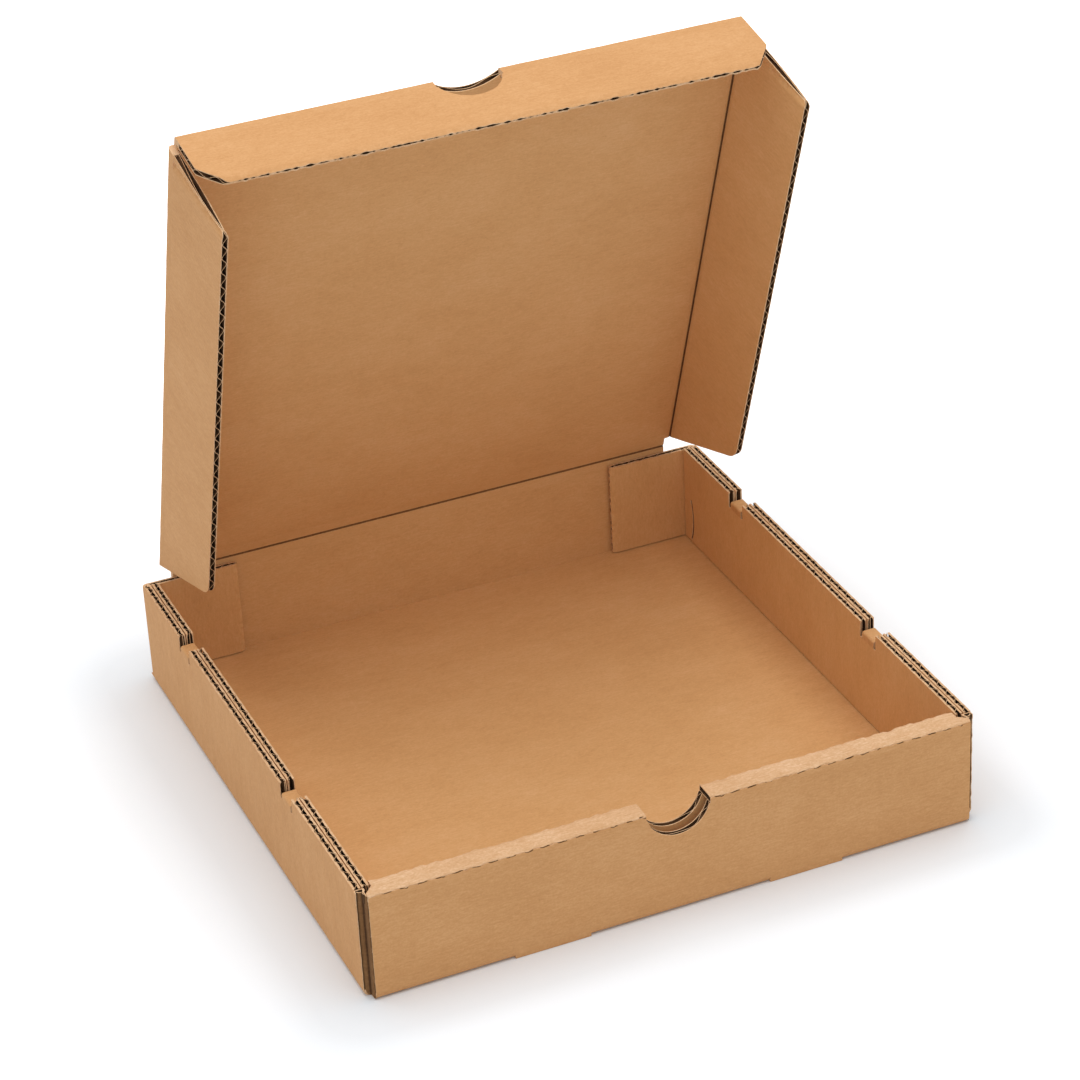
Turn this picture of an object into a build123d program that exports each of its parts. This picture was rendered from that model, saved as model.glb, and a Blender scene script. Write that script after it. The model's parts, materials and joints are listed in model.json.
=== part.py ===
from build123d import *
from math import cos, radians, sin, tan
import os

# A pizza box folded from one die-cut sheet of single-wall corrugated board.
# X runs across the front, Y from the front wall to the rear wall, Z up.
# The origin is the middle of the tray's underside. Sizes are millimetres.

# The board
board = 2.8                     # thickness, liner to liner
half = board / 2
ply_gap = 0.4                   # air between two plies that lie against each other
crease_gap = 0.3                # air round the rolled bead of a working crease
flute_pitch = 6.5               # one wave of the medium between the liners
liner = 0.4                     # each flat face of the board
medium_wall = 0.42              # the slanted wall between two flutes
flute_depth = 8.0               # how far the open flutes run in from a cut edge
flute_margin = 1.2              # solid board between a flute and the end of its edge

# The tray
inner_width = 228.6             # nine inches between the side walls
inner_depth = 228.6             # nine inches between the front and rear walls
wall_height = 44.5              # underside of the floor to the top of the walls
bottom_radius = 2.8             # outside radius of the folds round the floor
top_radius = 0.9                # outside radius of the two scores of the front rollover
corner_radius = 2.0             # outside radius of the upright corner folds

# The front wall
thumb_radius = 12.5
thumb_rise = 0.5                # centre of the thumb notch above the wall's top
front_end_gap = 0.4             # front panel's cut end to the corner fold beside it
rollover_side_gap = 0.5         # inner front panel to the side walls
front_corner_flap = 38.0        # length of the flap that the front wall clamps
foot_width = 29.0               # the lock tab of the inner front panel
foot_centre = 50.0
slot_gap = 0.35                 # lock tab to the edges of its slot

# The side walls
bridge_width = 9.0              # the short folded strip that joins the two plies
bridge_side_gap = 1.6           # die-cut relief at each end of that strip
bridge_drop = 3.6               # top of the strip below the wall's top
bridge_places = (0.30, 0.78)    # along the wall, from the front

# The rear wall and its corner flaps
rear_corner_flap = 33.0         # length seen inside the tray
rear_flap_drop = 1.0            # top of the rear corner flap below the wall's top
hinge_inset = 3.5               # hinge crease ends inside the lid's side creases
hinge_shoulder = 7.0            # height of the cut-away corner beside the hinge
lock_slit_width = 0.7
lock_slit_radius = 26.0
lock_slit_height = 21.0
lock_slit_inset = 8.5           # slit to the rear corner

# The lid
lid_clearance = 0.4             # closed lid above the walls
lid_front_gap = 1.0             # closed front flap to the inner front panel
side_flap_gap = 2.4             # square side flap of the closed lid to the side wall
side_crease_start = 4.0         # along the lid from the hinge
lid_shoulder = 2.5              # cut-off corner of the panel beside the hinge
bead_radius = 1.1               # crushed fold that joins the lid to the rear wall
open_lean = 20.0                # lid leans forward of upright, in degrees

side_flap_height = 42.0
right_flap_splay = 10.0         # opened beyond square, in degrees
left_flap_splay = -6.0          # this one is folded in past square
side_flap_rear_cut = 27.0       # how far the slanted rear end runs along the lid
side_flap_front_setback = 3.0
side_flap_front_slant = 4.5
side_flap_rear_radius = 9.0
side_flap_front_radius = 2.0

front_flap_height = 31.0
front_flap_open = 9.0           # opened beyond square, in degrees
front_flap_end_gap = 1.0        # front crease ends short of the side creases
front_flap_corner_width = 8.0
front_flap_corner_height = 10.5
front_flap_radius = 3.0
lid_notch_radius = 12.8
lid_notch_panel_depth = 4.5     # how far the finger notch bites into the panel

# Largest fold that a flap crease and the hinge crease must allow, in degrees
flap_fold_limit = 108.0
hinge_fold_limit = 100.0

# Worked out from the sizes above
side_wall = 2 * board + ply_gap
front_wall = 3 * board + 2 * ply_gap
outer_width = inner_width + 2 * side_wall
outer_depth = inner_depth + front_wall + board
x_out = outer_width / 2
x_in = inner_width / 2
y_front = -outer_depth / 2
y_rear = outer_depth / 2
y_front_in = y_front + front_wall
wrap_front = y_front + board + ply_gap
wrap_rear = y_rear - board - ply_gap
y_flap_in = wrap_rear - board
panel_end = x_out - board - front_end_gap
rollover_end = x_in - rollover_side_gap
lift = board + ply_gap
side_crease = x_in - side_flap_gap - half
hinge_half_width = side_crease - hinge_inset
hinge_y = y_rear - half
hinge_z = wall_height + lid_clearance + half
lid_length = hinge_y - (y_front_in + lid_front_gap + half)


def block(x0, x1, y0, y1, z0, z1):
    centre = Pos((x0 + x1) / 2, (y0 + y1) / 2, (z0 + z1) / 2)
    return centre * Box(abs(x1 - x0), abs(y1 - y0), abs(z1 - z0))


def prism_along_x(points, x0, x1):
    outline = Plane.YZ.offset(x0) * make_face(Polyline(*points, close=True))
    return extrude(outline, x1 - x0)


def prism_along_y(points, y0, y1):
    outline = Plane.XZ.offset(-y0) * make_face(Polyline(*points, close=True))
    return extrude(outline, -(y1 - y0))


def rod_along_x(radius, x0, x1, y, z):
    return Pos((x0 + x1) / 2, y, z) * Rot(0, 90, 0) * Cylinder(radius, x1 - x0)


def rod_along_y(radius, y0, y1, x, z):
    return Pos(x, (y0 + y1) / 2, z) * Rot(90, 0, 0) * Cylinder(radius, abs(y1 - y0))


# Open flutes at a cut edge: triangles in turn against the two liners, with the medium between
# them. They are drawn in the XY plane, with X along the edge and Y through the board.
def flute_openings(start, end):
    core = board - 2 * liner
    wall_shift = medium_wall * (core ** 2 + (flute_pitch / 2) ** 2) ** 0.5 / core
    reach = flute_pitch / 2 - wall_shift
    count = int((end - start - 2 * flute_margin) / (flute_pitch / 2)) - 1
    spare = (end - start - (count + 1) * flute_pitch / 2) / 2
    openings = []
    for index in range(count):
        middle = start + spare + (index + 1) * flute_pitch / 2
        base, tip = (liner, board - liner) if index % 2 else (board - liner, liner)
        outline = Polyline((middle - reach, base), (middle + reach, base), (middle, tip),
                           close=True)
        openings.append(extrude(make_face(outline), -flute_depth))
    return openings


def both_sides(piece):
    return piece + mirror(piece, Plane.YZ)


# How far the board is crushed back from a crease so that it can fold by the limit
def fold_reach(limit):
    return half * tan(radians(limit / 2))


# Floor, front wall and rear wall: one bent strip seen from the side
def front_and_rear_strip():
    corners = [
        (y_rear, hinge_z - half),
        (y_rear, 0),
        (y_front, 0),
        (y_front, wall_height),
        (y_front_in, wall_height),
        (y_front_in, lift),
        (y_front_in - board, lift),
        (y_front_in - board, wall_height - board),
        (y_front + board, wall_height - board),
        (y_front + board, board),
        (y_rear - board, board),
        (y_rear - board, hinge_z - half),
    ]
    section = make_face(Polyline(*corners, close=True))
    floor_folds = section.vertices().filter_by(lambda v: v.Y < 0.01)
    section = fillet(floor_folds, bottom_radius)
    at_top = section.vertices().filter_by(lambda v: abs(v.Y - wall_height) < 0.01)
    section = fillet(at_top, top_radius)
    return extrude(Plane.YZ.offset(-panel_end) * section, 2 * panel_end)


# The inner front panel is narrower than the outer one, and the rollover strip tapers to it
def rollover_end_cut():
    drop = wall_height - lift + board
    corner = [
        (panel_end + 1, y_front + board),
        (panel_end, y_front + board),
        (rollover_end, y_front_in - board - ply_gap),
        (rollover_end, y_front_in + 1),
        (panel_end + 1, y_front_in + 1),
    ]
    outline = Pos(0, 0, board + 0.01) * make_face(Polyline(*corner, close=True))
    return extrude(outline, drop + board)


# Lock tabs of the inner front panel stand in slots, and the fold is square beside them
def lock_foot(centre):
    x0 = centre - foot_width / 2
    x1 = centre + foot_width / 2
    tab = block(x0, x1, y_front_in - board, y_front_in, 0, lift)
    square_fold = block(x0, x1, y_front, y_front + bottom_radius, 0, bottom_radius)
    return tab + square_fold


def lock_slot(centre):
    x0 = centre - foot_width / 2 - slot_gap
    x1 = centre + foot_width / 2 + slot_gap
    y0 = y_front_in - board - slot_gap
    return block(x0, x1, y0, y_front_in + slot_gap, -1, board)


# The rear wall is cut away beside the hinge, and its top edge is crushed to a bead
def rear_shoulder_cut():
    return block(hinge_half_width, x_out, y_rear - board - 1, y_rear + 1,
                 wall_height - hinge_shoulder + lid_clearance, hinge_z + board)


def hinge_roof():
    reach = fold_reach(hinge_fold_limit)
    roof = [
        (y_rear - board, hinge_z - board),
        (y_rear, hinge_z - board),
        (y_rear, hinge_z - reach),
        (hinge_y, hinge_z),
        (y_rear - board, hinge_z - reach),
    ]
    edge = prism_along_x(roof, -hinge_half_width, hinge_half_width)
    return edge + rod_along_x(bead_radius, -hinge_half_width, hinge_half_width, hinge_y, hinge_z)


# Right side wall: the outer ply turns in at both ends as a corner flap
def side_outer_ply():
    ply = block(x_out - board, x_out, wrap_front, wrap_rear, 0, wall_height)
    flap_top = wall_height - board - ply_gap
    front_flap = block(x_in - front_corner_flap, x_out,
                       wrap_front, wrap_front + board, lift, flap_top)
    front_turn = block(x_out - board - ply_gap, x_out,
                       wrap_front, wrap_front + board, lift, wall_height)
    rear_flap = block(x_in - rear_corner_flap, x_out,
                      y_flap_in, wrap_rear, lift, wall_height - rear_flap_drop)
    wrap = ply + front_flap + front_turn + rear_flap
    upright = RectangleRounded(outer_width, wrap_rear - wrap_front, corner_radius)
    middle = (wrap_front + wrap_rear) / 2
    upright = extrude(Pos(0, middle, 0) * upright, wall_height)
    base = RectangleRounded(outer_width, 4 * wall_height, bottom_radius)
    base = extrude(Plane.XZ.offset(-y_rear) * Pos(0, 2 * wall_height) * base, outer_depth)
    return wrap & upright & base


def side_floor():
    edge = block(x_out - 3 * board, x_out, wrap_front, wrap_rear, 0, board)
    base = RectangleRounded(outer_width, 4 * wall_height, bottom_radius)
    base = extrude(Plane.XZ.offset(-y_rear) * Pos(0, 2 * wall_height) * base, outer_depth)
    return edge & base


def side_inner_ply():
    return block(x_in, x_in + board, wrap_front + board + ply_gap, y_flap_in - ply_gap,
                 lift, wall_height)


def bridge_middle(share):
    return wrap_front + share * (wrap_rear - wrap_front)


# The flutes of a side wall stand upright and are open along its top, between the bridges
def side_wall_flutes(ply_face, y0, y1):
    reach = bridge_width / 2 + bridge_side_gap
    stops = [y0]
    for share in bridge_places:
        stops += [bridge_middle(share) - reach, bridge_middle(share) + reach]
    stops.append(y1)
    flutes = []
    for start, end in zip(stops[::2], stops[1::2]):
        for opening in flute_openings(start, end):
            flutes.append(Pos(ply_face + board, 0, wall_height) * Rot(0, 0, 90) * opening)
    return flutes


# Where a bridge stands, both plies are cut down to it
def bridge_relief(share):
    reach = bridge_width / 2 + bridge_side_gap
    middle = bridge_middle(share)
    bottom = wall_height - bridge_drop - side_wall / 2
    return block(x_in - 1, x_out + 1, middle - reach, middle + reach, bottom, wall_height + 1)


def bridge(share):
    middle = bridge_middle(share)
    y0 = middle - bridge_width / 2
    y1 = middle + bridge_width / 2
    radius = side_wall / 2
    x_mid = x_in + radius
    axis_z = wall_height - bridge_drop - radius
    fold = rod_along_y(radius, y0, y1, x_mid, axis_z)
    fold -= rod_along_y(ply_gap / 2, y0 - 1, y1 + 1, x_mid, axis_z)
    fold -= block(x_in - 1, x_out + 1, y0 - 1, y1 + 1, axis_z - radius - 1, axis_z)
    return fold


# A curved slit in the inner ply leaves a tongue that holds the rear corner flap
def lock_slit():
    centre_y = y_flap_in - ply_gap - lock_slit_inset + lock_slit_radius
    ring = Cylinder(lock_slit_radius, 3 * board) - Cylinder(lock_slit_radius - lock_slit_width,
                                                            4 * board)
    ring = Pos(x_in + half, centre_y, lift + lock_slit_height / 2) * Rot(0, 90, 0) * ring
    window = block(x_in - board, x_in + board + ply_gap / 2,
                   centre_y - lock_slit_radius - 1, centre_y - lock_slit_radius * 0.6,
                   lift + 1.5, lift + lock_slit_height)
    return ring & window


def make_tray():
    tray = front_and_rear_strip()
    end_cut = rollover_end_cut()
    tray -= end_cut
    tray -= mirror(end_cut, Plane.YZ)
    shoulder = rear_shoulder_cut()
    tray -= shoulder
    tray -= mirror(shoulder, Plane.YZ)
    top_strip = block(-x_out, x_out, y_rear - 2 * board, y_rear + 1, hinge_z - board,
                      hinge_z + board)
    tray -= top_strip
    tray += hinge_roof()
    for centre in (-foot_centre, foot_centre):
        tray -= lock_slot(centre)
        tray += lock_foot(centre)
    side = side_outer_ply() + side_floor() + side_inner_ply()
    for share in bridge_places:
        side -= bridge_relief(share)
        side += bridge(share)
    side -= lock_slit()
    side -= side_wall_flutes(x_out - board, wrap_front + board, wrap_rear - board)
    side -= side_wall_flutes(x_in, wrap_front + board + ply_gap, y_flap_in - ply_gap)
    tray += both_sides(side)
    thumb = rod_along_y(thumb_radius, y_front - 1, y_front_in + 1, 0, wall_height + thumb_rise)
    tray -= thumb
    return tray


# The lid is drawn shut, with its hinge crease on the X axis, and is opened at the end.
# Its middle plane is Z = 0, its inside face looks down, and it runs towards -Y.

def lid_outline():
    crease_end = lid_length
    front_x = side_crease - front_flap_end_gap
    points = [
        (hinge_half_width, 0),
        (hinge_half_width, -lid_shoulder),
        (side_crease, -side_crease_start),
        (side_crease, -(crease_end - side_flap_front_setback)),
        (front_x, -crease_end),
    ]
    mirrored = [(-x, y) for x, y in reversed(points)]
    return make_face(Polyline(*points, *mirrored, close=True))


def make_lid_panel():
    reach_flap = fold_reach(flap_fold_limit)
    reach_hinge = fold_reach(hinge_fold_limit)
    panel = extrude(Pos(0, 0, -half) * lid_outline(), board)
    front_x = side_crease - front_flap_end_gap
    side_front = -(lid_length - side_flap_front_setback)
    side_mitre = [(side_crease + 1, 0), (side_crease, 0),
                  (side_crease - reach_flap, -half),
                  (side_crease - reach_flap, -half - 1), (side_crease + 1, -half - 1)]
    mitre = prism_along_y(side_mitre, side_front - 1, -side_crease_start + 1)
    bead = rod_along_y(half, side_front, -side_crease_start, side_crease, 0)
    front_mitre = [(-lid_length - 1, 0), (-lid_length, 0),
                   (-lid_length + reach_flap, -half),
                   (-lid_length + reach_flap, -half - 1), (-lid_length - 1, -half - 1)]
    panel -= mitre
    panel -= mirror(mitre, Plane.YZ)
    panel -= prism_along_x(front_mitre, -side_crease, side_crease)
    panel += both_sides(bead)
    panel += rod_along_x(half, -front_x, front_x, -lid_length, 0)
    lower = [(1, 0), (0, 0), (-reach_hinge, -half), (-reach_hinge, -half - 1), (1, -half - 1)]
    upper = [(y, -z) for y, z in lower]
    panel -= prism_along_x(lower, -x_out, x_out)
    panel -= prism_along_x(upper, -x_out, x_out)
    panel -= rod_along_x(bead_radius + crease_gap, -x_out, x_out, 0, 0)
    panel -= lid_panel_notch()
    return panel


# A shallow arc over the same chord as the notch in the flap
def lid_panel_notch():
    depth = lid_notch_panel_depth
    radius = (lid_notch_radius ** 2 + depth ** 2) / (2 * depth)
    centre_y = -lid_length + depth - radius
    disc = Pos(0, centre_y, 0) * Cylinder(radius, 4 * board)
    return disc & block(-lid_notch_radius, lid_notch_radius,
                        -lid_length - board, 0, -board, board)


def make_side_flap():
    reach = fold_reach(flap_fold_limit)
    front = -(lid_length - side_flap_front_setback)
    points = [
        (-side_crease_start, 0),
        (-side_crease_start - side_flap_rear_cut, -side_flap_height),
        (front + side_flap_front_slant, -side_flap_height),
        (front, 0),
    ]
    outline = make_face(Polyline(*points, close=True))
    free = outline.vertices().filter_by(lambda v: v.Y < -side_flap_height + 0.01)
    rear_corner = [v for v in free if v.X > -lid_length / 2]
    outline = fillet(rear_corner, side_flap_rear_radius)
    free = outline.vertices().filter_by(lambda v: v.Y < -side_flap_height + 0.01)
    front_corner = [v for v in free if v.X < -lid_length * 0.8]
    outline = fillet(front_corner, side_flap_front_radius)
    flap = extrude(Plane.YZ.offset(side_crease - half) * outline, board)
    flap -= rod_along_y(half + crease_gap, front - 1, 1, side_crease, 0)
    inside = [(side_crease, 0), (side_crease - half - 1, 0),
              (side_crease - half - 1, -reach * (half + 1) / half)]
    flap -= prism_along_y(inside, front - 1, 1)
    flute_start = side_crease_start + side_flap_rear_cut + side_flap_rear_radius
    flute_end = -front - side_flap_front_slant - side_flap_front_radius
    place = Pos(side_crease + half, 0, -side_flap_height) * Rot(180, 0, 90)
    flap -= [place * opening for opening in flute_openings(flute_start, flute_end)]
    return flap


def make_front_flap():
    reach = fold_reach(flap_fold_limit)
    end = side_crease - front_flap_end_gap
    shoulder = front_flap_height - front_flap_corner_height
    points = [
        (end, 0),
        (end, -shoulder),
        (end - front_flap_corner_width, -front_flap_height),
        (-end + front_flap_corner_width, -front_flap_height),
        (-end, -shoulder),
        (-end, 0),
    ]
    outline = make_face(Polyline(*points, close=True))
    free = outline.vertices().filter_by(lambda v: v.Y < -0.01)
    outline = fillet(free, front_flap_radius)
    flap = extrude(Plane.XZ.offset(lid_length + half) * outline, -board)
    flap -= rod_along_x(half + crease_gap, -end - 1, end + 1, -lid_length, 0)
    inside = [(-lid_length, 0), (-lid_length + half + 1, 0),
              (-lid_length + half + 1, -reach * (half + 1) / half)]
    flap -= prism_along_x(inside, -end - 1, end + 1)
    flap -= rod_along_y(lid_notch_radius, -lid_length - board, -lid_length + board, 0, 0)
    return flap


def opened(piece):
    swing = Rot(open_lean - 90, 0, 0)
    return Pos(0, hinge_y, hinge_z) * swing * piece


def turned_about(piece, point, axis, angle):
    return piece.rotate(Axis(point, axis), angle)


tray = make_tray()
lid_panel = opened(make_lid_panel())
side_flap = make_side_flap()
right_flap = turned_about(side_flap, (side_crease, 0, 0), (0, 1, 0), -right_flap_splay)
left_flap = mirror(turned_about(side_flap, (side_crease, 0, 0), (0, 1, 0), -left_flap_splay),
                   Plane.YZ)
front_flap = turned_about(make_front_flap(), (0, -lid_length, 0), (1, 0, 0), -front_flap_open)

nodes = {
    "tray": tray,
    "lid_panel": lid_panel,
    "lid_right_flap": opened(right_flap),
    "lid_left_flap": opened(left_flap),
    "lid_front_flap": opened(front_flap),
}

lean = radians(open_lean)
front_crease_y = hinge_y - lid_length * sin(lean)
front_crease_z = hinge_z + lid_length * cos(lean)
print("hinge", 0, hinge_y, hinge_z, "lid length", lid_length)
print("front crease", front_crease_y, front_crease_z, "up the lid", -sin(lean), cos(lean))

os.makedirs("parts", exist_ok=True)
for name, shape in nodes.items():
    solid = shape if isinstance(shape, Solid) else Compound(children=shape.solids())
    if len(shape.solids()) == 1:
        solid = shape.solids()[0]
    export_step(solid, f"parts/{name}.step")
    print(name, len(shape.solids()), round(shape.volume, 1), shape.bounding_box())
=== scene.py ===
import json
import math

import bpy
from mathutils import Matrix, Vector, noise


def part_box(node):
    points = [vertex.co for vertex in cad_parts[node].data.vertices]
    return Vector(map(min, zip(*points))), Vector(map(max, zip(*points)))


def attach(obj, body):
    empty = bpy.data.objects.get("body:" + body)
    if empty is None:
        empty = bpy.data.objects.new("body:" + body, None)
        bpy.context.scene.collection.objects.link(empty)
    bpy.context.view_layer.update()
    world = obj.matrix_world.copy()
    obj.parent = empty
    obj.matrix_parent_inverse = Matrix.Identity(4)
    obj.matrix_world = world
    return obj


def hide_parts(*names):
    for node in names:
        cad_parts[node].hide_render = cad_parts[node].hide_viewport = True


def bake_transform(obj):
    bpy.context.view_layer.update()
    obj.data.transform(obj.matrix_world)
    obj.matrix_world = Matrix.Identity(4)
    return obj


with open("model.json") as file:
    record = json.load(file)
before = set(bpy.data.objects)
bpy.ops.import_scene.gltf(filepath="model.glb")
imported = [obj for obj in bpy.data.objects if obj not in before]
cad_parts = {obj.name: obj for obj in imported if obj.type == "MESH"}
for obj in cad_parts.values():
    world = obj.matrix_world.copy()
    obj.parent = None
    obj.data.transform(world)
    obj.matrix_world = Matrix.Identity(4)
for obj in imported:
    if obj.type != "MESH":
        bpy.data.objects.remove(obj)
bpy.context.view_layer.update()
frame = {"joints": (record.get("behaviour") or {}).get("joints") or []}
mm = 0.001


# The floor panel
# The middle of the one sheet of corrugated board that the box is folded from: two flat kraft
# liners glued to a wavy medium, with flutes that run from left to right. Two slots are cut in
# it behind the front wall, for the feet that lock that wall.
board = 2.8 * mm
half = board / 2
liner = 0.36 * mm
medium_paper = 0.22 * mm
flute_pitch = 6.5 * mm
washboard = 0.03 * mm          # half of what a liner sinks between two flutes
liner_rows = 8                 # rows of faces in one wave
medium_rows = 14
tray_low, tray_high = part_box("tray")
x_out = tray_high.x
y_front = tray_low.y
y_rear = tray_high.y
wall_height = 44.5 * mm
ply_gap = 0.4 * mm
side_wall = 2 * board + ply_gap
front_wall = 3 * board + 2 * ply_gap
x_in = x_out - side_wall
y_front_in = y_front + front_wall
foot_width = 29 * mm
foot_centre = 50 * mm
slot_gap = 0.35 * mm
crush_reach = 2.4 * mm
crush_step = 0.65 * mm
crush_grain = 1.5 * mm
crush_drift = 9 * mm
crush_mean = 0.80              # 1 would close the flutes at the edge
crush_spread = 0.7
crush_least = 0.4
crush_most = 0.97
smear_reach = 1.3 * mm
smear_depth = 0.50 * mm
smear_grain = 1.3 * mm
same_place = 0.001 * mm
too_near = 0.01 * mm
OUTSIDE, INSIDE, CUT, FLUTE_SHADE, CRUSHED_AND_LIT, BARE_AND_SHADE = range(6)   # the papers, as listed further down


class Piece:
    """The sheets of paper of one piece, gathered before they become one mesh."""

    def __init__(self):
        self.points = []
        self.on_sheet = []
        self.faces = []
        self.papers = []

    def add_point(self, place, on_sheet):
        self.points.append(place)
        self.on_sheet.append(on_sheet)
        return len(self.points) - 1

    def add_face(self, ring, paper):
        clean = [p for i, p in enumerate(ring) if p != ring[i - 1]]
        if len(clean) > 2:
            self.faces.append(clean)
            self.papers.append(paper)


def stretches(loops, row_a, row_b):
    """The stretches of the outline between two rows, as (left, right) ends on each row."""
    middle = (row_a + row_b) / 2
    ends = []
    for loop in loops:
        for (u0, v0), (u1, v1) in zip(loop, loop[1:] + loop[:1]):
            if min(v0, v1) < middle < max(v0, v1):
                slope = (u1 - u0) / (v1 - v0)
                ends.append((u0 + slope * (middle - v0), u0 + slope * (row_a - v0),
                             u0 + slope * (row_b - v0)))
    ends.sort()
    return [(left[1:], right[1:]) for left, right in zip(ends[::2], ends[1::2])]


def cut_paper(piece, loops, low, high, row_step, place, papers, shift, columns):
    """One sheet of paper cut to the loops and closed all round, in rows across the flutes."""
    marks = {round(v, 8) for loop in loops for u, v in loop}
    first, last = min(marks), max(marks)
    marks |= {round(k * row_step, 8)
              for k in range(math.ceil(first / row_step), math.floor(last / row_step) + 1)}
    rows = sorted(marks)
    rows = [v for i, v in enumerate(rows) if i == 0 or v - rows[i - 1] > same_place]
    strips = []
    on_row = {v: set() for v in rows}
    for v0, v1 in zip(rows, rows[1:]):
        for left, right in stretches(loops, v0, v1):
            sides = [left] + [(u, u) for u in columns((v0 + v1) / 2)
                              if max(left) + too_near < u < min(right) - too_near] + [right]
            strips += [(v0, v1, a, b) for a, b in zip(sides, sides[1:])]
            on_row[v0].update(round(side[0], 7) for side in sides)
            on_row[v1].update(round(side[1], 7) for side in sides)
    corners = {}

    def corner(u, v, top):
        key = (round(u, 7), v, top)
        if key not in corners:
            h = (high if top else low) + shift(u, v, top)
            corners[key] = piece.add_point(place(u, v, h), (u, v, h))
        return corners[key]

    row_edges = {}
    side_edges = {}
    for v0, v1, left, right in strips:
        row0, row1 = ([u for u in sorted(on_row[v])
                       if left[end] - same_place <= u <= right[end] + same_place]
                      for end, v in enumerate((v0, v1)))
        ring = [(u, v0) for u in row0] + [(u, v1) for u in reversed(row1)]
        piece.add_face([corner(u, v, True) for u, v in ring], papers[1])
        piece.add_face([corner(u, v, False) for u, v in reversed(ring)], papers[0])
        for row, us, starts in ((v0, row0, True), (v1, row1, False)):
            for a, b in zip(us, us[1:]):
                row_edges.setdefault((row, a, b), []).append(starts)
        for a, b, is_left in ((row0[0], row1[0], True), (row0[-1], row1[-1], False)):
            key = (v0, v1, round(a, 6), round(b, 6))
            side_edges.setdefault(key, []).append((a, b, is_left))
    for (v0, v1, _, _), found in side_edges.items():
        if len(found) == 1:
            a, b, is_left = found[0]
            ring = [corner(a, v0, True), corner(a, v0, False),
                    corner(b, v1, False), corner(b, v1, True)]
            piece.add_face(ring[::-1] if is_left else ring, papers[2])
    for (row, a, b), found in row_edges.items():
        if len(found) == 1:
            ring = [corner(a, row, False), corner(b, row, False),
                    corner(b, row, True), corner(a, row, True)]
            piece.add_face(ring if found[0] else ring[::-1], papers[2])


def cut_board(piece, loops, place, faces=(INSIDE, OUTSIDE), low=0.0, phase=0.0, pressed=(),
              smeared=()):
    """Corrugated board cut to the loops: u along the flutes, v across them, h up from low.

    Where the knife ran along the flutes, at the pressed values of v, it crushed the edge.
    Where it ran across them, at the smeared values of u, it dragged the liners into them.
    """
    reach = half - liner - medium_paper / 2
    middle = low + half

    def crushed(u, v):
        near = min((abs(v - edge) for edge in pressed), default=board)
        if near > crush_reach:
            return 0
        spot = noise.noise(Vector((u / crush_grain, v / crush_drift, low / mm)))
        share = min(max(crush_mean + crush_spread * spot, crush_least), crush_most)
        return (1 - near / crush_reach) ** 1.4 * share

    def smear(u, v):
        near = min((abs(u - edge) for edge in smeared), default=board)
        if near > smear_reach:
            return 0
        spot = noise.noise(Vector((v / smear_grain, low / mm, 7)))
        return smear_depth * (0.9 + 0.7 * spot) * (1 - near / smear_reach) ** 2

    def wave(v):
        return math.sin(math.tau * v / flute_pitch + phase)

    def columns(v):
        us = [u for loop in loops for u, _ in loop]
        found = [edge + share * smear_reach for edge in smeared
                 for share in (-1, -0.5, 0.5, 1)]
        if min((abs(v - edge) for edge in pressed), default=board) <= crush_reach:
            found += [min(us) + k * crush_step
                      for k in range(1, int((max(us) - min(us)) / crush_step))]
        return sorted(found)

    # The liners' faces towards the flutes and the medium itself are painted near black, as
    # painted shade down in the flutes.
    cut_paper(piece, loops, low, low + liner, flute_pitch / liner_rows, place,
              (faces[0], FLUTE_SHADE, CUT),
              lambda u, v, top: (washboard * (1 + wave(v)) + reach * crushed(u, v)
                                 + (smear(u, v) if top else 0)), columns)
    cut_paper(piece, loops, low + board - liner, low + board, flute_pitch / liner_rows, place,
              (FLUTE_SHADE, faces[1], CUT),
              lambda u, v, top: (-washboard * (1 - wave(v)) - reach * crushed(u, v)
                                 - (0 if top else smear(u, v))), columns)
    cut_paper(piece, loops, middle - medium_paper / 2, middle + medium_paper / 2,
              flute_pitch / medium_rows, place, (FLUTE_SHADE, FLUTE_SHADE, CUT),
              lambda u, v, top: (reach - washboard) * wave(v) * (1 - crushed(u, v)), columns)


def turned(origin, along, across, up):
    """Places a panel: its u, v and h run along these directions from the origin."""
    o, a, b, c = Vector(origin), Vector(along), Vector(across), Vector(up)
    return lambda u, v, h: o + a * u + b * v + c * h


def rectangle(u0, u1, v0, v1):
    return [(u0, v0), (u1, v0), (u1, v1), (u0, v1)]


tray = Piece()
foot_sides = [(-foot_centre - foot_width / 2, -foot_centre + foot_width / 2),
              (foot_centre - foot_width / 2, foot_centre + foot_width / 2)]
slots = [rectangle(a - slot_gap, b + slot_gap, y_front_in - board - slot_gap,
                   y_front_in + slot_gap) for a, b in foot_sides]
floor = rectangle(-x_out + board, x_out - board, y_front + board, y_rear - board)
cut_board(tray, [floor] + slots, turned((0, 0, 0), (1, 0, 0), (0, 1, 0), (0, 0, 1)),
          faces=(OUTSIDE, INSIDE))


# The folds along the floor
# At a scored fold the board is crushed to a line on its inside, and its outer liner is drawn
# tight round the corner. In front of each foot the fold is sharp, where the slot's knife
# has cut it free.
wrap_front = y_front + board + ply_gap
wrap_rear = y_rear - board - ply_gap
panel_end = x_out - board - ply_gap
bottom_radius = 2.8 * mm
foot_fold_radius = 0.4 * mm
fold_bends = 6
fold_step = 3 * mm


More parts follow.
